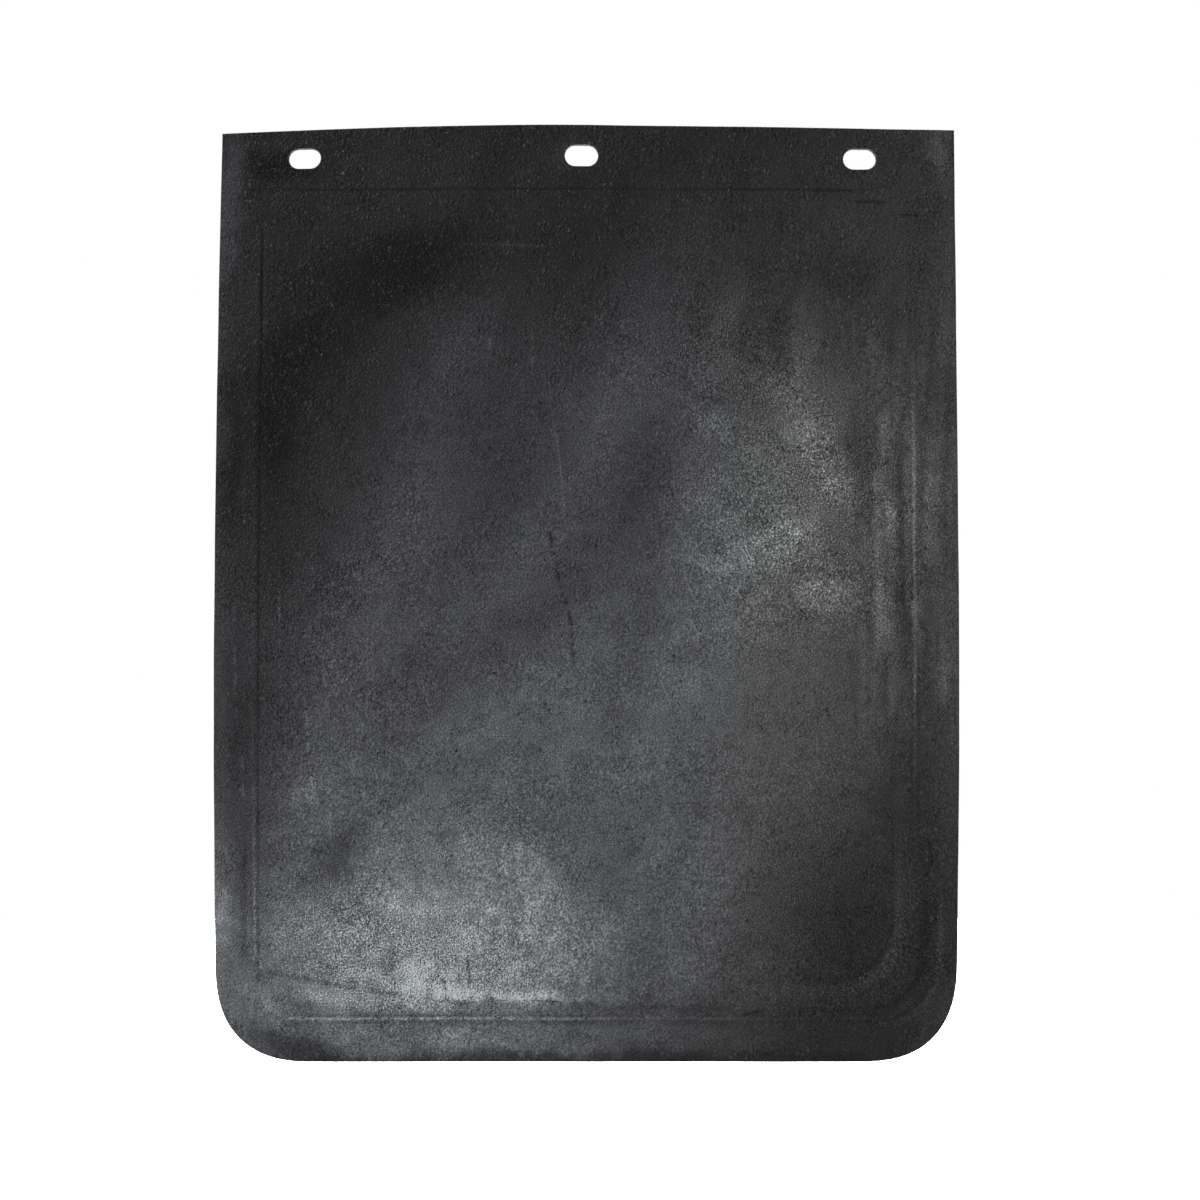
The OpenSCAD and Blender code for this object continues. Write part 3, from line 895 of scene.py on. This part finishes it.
class Nodes:
    """A material with a Principled shader, and short calls that add nodes to it."""

    def __init__(self, name):
        self.material = bpy.data.materials.new(name)
        self.material.use_nodes = True
        self.tree = self.material.node_tree
        self.shader = self.tree.nodes["Principled BSDF"]
        self.place = self.add("ShaderNodeTexCoord").outputs["Object"]

    def add(self, kind, **settings):
        node = self.tree.nodes.new(kind)
        for key, value in settings.items():
            setattr(node, key, value)
        return node

    def link(self, source, target):
        self.tree.links.new(source, target)

    def attribute(self, name):
        return self.add("ShaderNodeAttribute", attribute_name=name).outputs["Fac"]

    def noise(self, size, detail=3.0, rough=0.55, place=None):
        """Noise whose features are about size metres across, from 0 to 1."""
        node = self.add("ShaderNodeTexNoise")
        node.inputs["Scale"].default_value = 1 / size
        node.inputs["Detail"].default_value = detail
        node.inputs["Roughness"].default_value = rough
        self.link(place or self.place, node.inputs["Vector"])
        return node.outputs["Fac"]

    def scattered(self, size):
        """Distance from the middles of cells about size metres across, and each cell's random number."""
        node = self.add("ShaderNodeTexVoronoi", feature="F1")
        node.inputs["Scale"].default_value = 1 / size
        self.link(self.place, node.inputs["Vector"])
        split = self.add("ShaderNodeSeparateColor")
        self.link(node.outputs["Color"], split.inputs["Color"])
        return node.outputs["Distance"], split.outputs["Red"]

    def stretched(self, scale):
        """The object's coordinates, scaled along each axis."""
        node = self.add("ShaderNodeMapping")
        node.inputs["Scale"].default_value = scale
        self.link(self.place, node.inputs["Vector"])
        return node.outputs["Vector"]

    def ramp(self, value, low, high, to_low=0.0, to_high=1.0):
        node = self.add("ShaderNodeMapRange", interpolation_type="SMOOTHSTEP")
        ends = {"From Min": low, "From Max": high, "To Min": to_low, "To Max": to_high}
        for socket, number in ends.items():
            node.inputs[socket].default_value = number
        self.link(value, node.inputs["Value"])
        return node.outputs["Result"]

    def math(self, operation, a, b):
        node = self.add("ShaderNodeMath", operation=operation)
        for socket, value in zip(node.inputs, (a, b)):
            if isinstance(value, (int, float)):
                socket.default_value = value
            else:
                self.link(value, socket)
        return node.outputs["Value"]

    def mix(self, share, first, second):
        """A colour between two others, each an RGB triple or a socket."""
        node = self.add("ShaderNodeMix", data_type="RGBA")
        self.link(share, node.inputs["Factor"])
        for socket, colour in ((node.inputs[6], first), (node.inputs[7], second)):
            if isinstance(colour, tuple):
                socket.default_value = (*colour, 1)
            else:
                self.link(colour, socket)
        return node.outputs[2]

    def bump(self, height, depth, below=None):
        """Adds relief of a depth in metres, on top of an earlier bump."""
        node = self.add("ShaderNodeBump")
        node.inputs["Strength"].default_value = 1
        node.inputs["Distance"].default_value = depth
        self.link(height, node.inputs["Height"])
        if below is not None:
            self.link(below, node.inputs["Normal"])
        return node.outputs["Normal"]


BARE_RUBBER = (0.0066, 0.0066, 0.0072)
# Pale tones of the bloom, which also stand for painted sheen
THIN_BLOOM_AND_SHEEN = (0.422, 0.433, 0.458)
THICK_BLOOM_AND_SHEEN = (0.407, 0.433, 0.453)
# A warmer pale tone: a painted tint of the fill light from the right
FILL_TINTED_BLOOM_AND_SHEEN = (0.428, 0.433, 0.429)


def moulded_rubber(name):
    """Press-moulded black rubber with a fine grain, pimples, pits, and bloom lying unevenly on it. The
    bloom's pale tone also carries painted sheen, with painted glints in its speckle and painted
    highlights on the pimples.
    """
    m = Nodes(name)
    # The bloom attribute holds pale dust and painted sheen of the lights as one map.
    bloom_and_sheen = m.attribute("bloom_and_sheen")
    scuff = m.attribute("scuff")
    mottle = m.noise(9 * MM, detail=4, rough=0.6)
    speckle = m.noise(1.3 * MM, detail=0)

    flecks = m.math("MULTIPLY", m.math("SUBTRACT", speckle, 0.5), m.ramp(scuff, 0, 1, 1.0, 2.0))
    # Painted glints: the brightest specks of the speckle are lightened in the colour, more where the
    # bloom is scuffed.
    painted_glints = m.math("MULTIPLY", m.ramp(speckle, 0.6, 0.75), m.ramp(scuff, 0, 1, 0.05, 0.28))
    patchy = m.ramp(mottle, 0.2, 0.8, 0.92, 1.08)
    clustered = m.ramp(m.noise(20 * MM, detail=2), 0.42, 0.62, 0.15, 1.0)
    dots, kind = m.scattered(4.2 * MM)
    chosen = m.math("MULTIPLY", m.ramp(kind, 0.68, 0.70), clustered)
    # Painted highlights on the pimples: the colour is lightened at the middle of each chosen pimple.
    pimple_highlights = m.math("MULTIPLY", m.ramp(dots, 0.02, 0.22, 0.2, 0.0), chosen)
    broken = m.math("ADD", m.math("ADD", flecks, painted_glints), m.math("ADD", patchy, pimple_highlights))
    cover = m.math("POWER", m.math("MAXIMUM", m.math("MULTIPLY", bloom_and_sheen, broken), 0.0), 1.9)
    cover = m.math("MULTIPLY", cover, 0.75)
    across = m.add("ShaderNodeSeparateXYZ")
    m.link(m.place, across.inputs["Vector"])
    tone = m.mix(m.ramp(bloom_and_sheen, 0.36, 0.72), THIN_BLOOM_AND_SHEEN, THICK_BLOOM_AND_SHEEN)
    # Towards the right the pale tone turns warmer: a painted tint of the warm fill light on that side.
    tone = m.mix(m.ramp(across.outputs["X"], 0.04, 0.22), tone, FILL_TINTED_BLOOM_AND_SHEEN)
    m.link(m.mix(cover, BARE_RUBBER, tone), m.shader.inputs["Base Color"])
    rough = m.ramp(bloom_and_sheen, 0.0, 0.9, 0.42, 0.62)
    rough = m.math("ADD", rough, m.ramp(mottle, 0.2, 0.8, -0.04, 0.04))
    m.link(rough, m.shader.inputs["Roughness"])

    pimples = m.math("MULTIPLY", m.ramp(dots, 0.0, 0.40, 1.0, 0.0), chosen)
    normal = m.bump(pimples, 2.2 * MM)
    swells = m.math("MULTIPLY", m.ramp(m.noise(2.6 * MM, detail=1), 0.45, 0.75, 0.0, 1.0), clustered)
    normal = m.bump(swells, 1.5 * MM, normal)
    holes, hole_kind = m.scattered(5.4 * MM)
    hole = m.math("MULTIPLY", m.ramp(holes, 0.06, 0.3, -1.0, 0.0), m.ramp(hole_kind, 0.95, 0.96))
    normal = m.bump(hole, 1.4 * MM, normal)
    grain = m.noise(1.5 * MM, detail=0)
    normal = m.bump(m.math("MULTIPLY", grain, m.ramp(scuff, 0, 1, 0.45, 1.9)), 1.5 * MM, normal)
    m.link(normal, m.shader.inputs["Normal"])
    polish = m.math("MULTIPLY", m.ramp(dots, 0.3, 0.5, 1.0, 0.0), chosen)
    m.link(m.ramp(polish, 0.0, 0.8, 0.09, 0.26), m.shader.inputs["Specular IOR Level"])
    return m.material


def cut_rubber(name):
    """Rubber as a punch leaves it: dull, with fine drag lines through its thickness."""
    m = Nodes(name)
    drag = m.noise(0.5 * MM, detail=3, place=m.stretched((1, 0.12, 1)))
    colour = m.mix(drag, (0.008, 0.008, 0.0085), (0.035, 0.035, 0.036))
    m.link(colour, m.shader.inputs["Base Color"])
    m.link(m.ramp(drag, 0.2, 0.8, 0.62, 0.85), m.shader.inputs["Roughness"])
    m.link(m.bump(drag, 0.15 * MM), m.shader.inputs["Normal"])
    return m.material


def woven_ply(name):
    """Plain-woven textile with rubber pressed into it: warp and weft threads crossing."""
    m = Nodes(name)
    threads = []
    for direction in ("X", "Z"):
        wave = m.add("ShaderNodeTexWave", bands_direction=direction)
        wave.inputs["Scale"].default_value = 1 / (7 * MM)
        wave.inputs["Distortion"].default_value = 0.6
        m.link(m.place, wave.inputs["Vector"])
        threads.append(wave.outputs["Fac"])
    weave = m.math("MAXIMUM", threads[0], threads[1])
    fibre = m.noise(0.35 * MM, detail=3)
    share = m.math("MULTIPLY", weave, m.ramp(fibre, 0.2, 0.8, 0.5, 1.0))
    colour = m.mix(share, (0.05, 0.047, 0.042), (0.30, 0.275, 0.225))
    m.link(colour, m.shader.inputs["Base Color"])
    m.link(m.ramp(fibre, 0.2, 0.8, 0.8, 0.95), m.shader.inputs["Roughness"])
    m.link(m.bump(weave, 0.2 * MM), m.shader.inputs["Normal"])
    return m.material


# ---- Studio

FRAME_W = 0.9755
LENS = 120
SENSOR = 36
VIEW_RIGHT = 11.3 * MM
VIEW_DOWN = 5.5 * MM


def make_camera():
    """A level camera square to the front."""
    data = bpy.data.cameras.new("camera")
    data.lens = LENS
    data.sensor_width = SENSOR
    data.clip_start = 0.05
    data.clip_end = 60
    camera = bpy.data.objects.new("camera", data)
    camera.location = (MIDDLE_X + VIEW_RIGHT, FRONT_Y - FRAME_W * LENS / SENSOR, MIDDLE_Z - VIEW_DOWN)
    camera.rotation_euler = (math.radians(90), 0, 0)
    bpy.context.scene.collection.objects.link(camera)
    bpy.context.scene.camera = camera


def make_area_light(name, place, target, size, power, spread=180):
    """A soft rectangular light aimed at a point."""
    data = bpy.data.lights.new(name, "AREA")
    data.shape = "RECTANGLE"
    data.size, data.size_y = size
    data.energy = power
    data.spread = math.radians(spread)
    light = bpy.data.objects.new(name, data)
    light.location = place
    light.rotation_euler = (Vector(target) - Vector(place)).to_track_quat("-Z", "Y").to_euler()
    light.visible_camera = False
    bpy.context.scene.collection.objects.link(light)


def make_lights():
    """A large soft key from the upper left, a fill from the right, and a flood on the floor behind."""
    middle = (MIDDLE_X, 0, MIDDLE_Z)
    make_area_light("key", (-3.1, -2.3, 2.3), middle, (1.2, 1.2), 227)
    make_area_light("fill", (2.6, -2.4, 0.1), middle, (1.6, 1.8), 31)
    make_area_light("flood", (0, 2.9, 2.6), (0, 2.9, BOTTOM), (5.5, 4.4), 480, spread=70)


def make_world():
    """White as the camera sees it, and a softer grey as the light that falls on the flap."""
    world = bpy.data.worlds.new("studio")
    world.use_nodes = True
    tree = world.node_tree
    lit = tree.nodes["Background"]
    lit.inputs["Color"].default_value = (1, 1, 1, 1)
    lit.inputs["Strength"].default_value = 0.165
    seen = tree.nodes.new("ShaderNodeBackground")
    seen.inputs["Color"].default_value = (1, 1, 1, 1)
    seen.inputs["Strength"].default_value = 1.0
    rays = tree.nodes.new("ShaderNodeLightPath")
    choose = tree.nodes.new("ShaderNodeMixShader")
    tree.links.new(rays.outputs["Is Camera Ray"], choose.inputs["Fac"])
    tree.links.new(lit.outputs[0], choose.inputs[1])
    tree.links.new(seen.outputs[0], choose.inputs[2])
    tree.links.new(choose.outputs[0], tree.nodes["World Output"].inputs["Surface"])
    bpy.context.scene.world = world


def make_floor():
    """A pale floor below the hanging flap."""
    data = bpy.data.meshes.new("floor")
    x, near, far, z = 3.4, -1.5, 4.6, BOTTOM - 0.25
    data.from_pydata([(-x, near, z), (x, near, z), (x, far, z), (-x, far, z)], [], [(0, 1, 2, 3)])
    floor = bpy.data.objects.new("floor", data)
    bpy.context.scene.collection.objects.link(floor)
    paint = Nodes("floor_paint")
    paint.shader.inputs["Base Color"].default_value = (0.9, 0.9, 0.9, 1)
    paint.shader.inputs["Roughness"].default_value = 0.9
    data.materials.append(paint.material)


# ---- Putting it together


def finish_piece(piece, node, materials):
    """Gives a piece its materials, hides the CAD node that it stands for, and hangs the piece under the
    root body.
    """
    for material in materials:
        piece.data.materials.append(material)
    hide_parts(node)
    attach(piece, "root")


make_camera()
make_world()
make_lights()
make_floor()
bpy.context.scene.view_settings.view_transform = "Standard"

skin = moulded_rubber("moulded_rubber")
cut = cut_rubber("cut_rubber")
textile = woven_ply("woven_ply")

finish_piece(make_front_cover(), "front_cover", [skin, cut])
finish_piece(make_rear_cover(), "rear_cover", [skin, cut])
core = make_inner_layer("core_rubber", CORE_LOW, CORE_HIGH, SLOT_GROW)
finish_piece(core, "core_layer", [cut, cut])
for node, low, high in (("front_ply", PLY_LOW, PLY_HIGH), ("rear_ply", REAR_PLY_LOW, REAR_PLY_HIGH)):
    ply = make_inner_layer(node + "_cloth", low, high, SLOT_GROW - PLY_BACK)
    finish_piece(ply, node, [textile, textile])

bpy.context.view_layer.update()
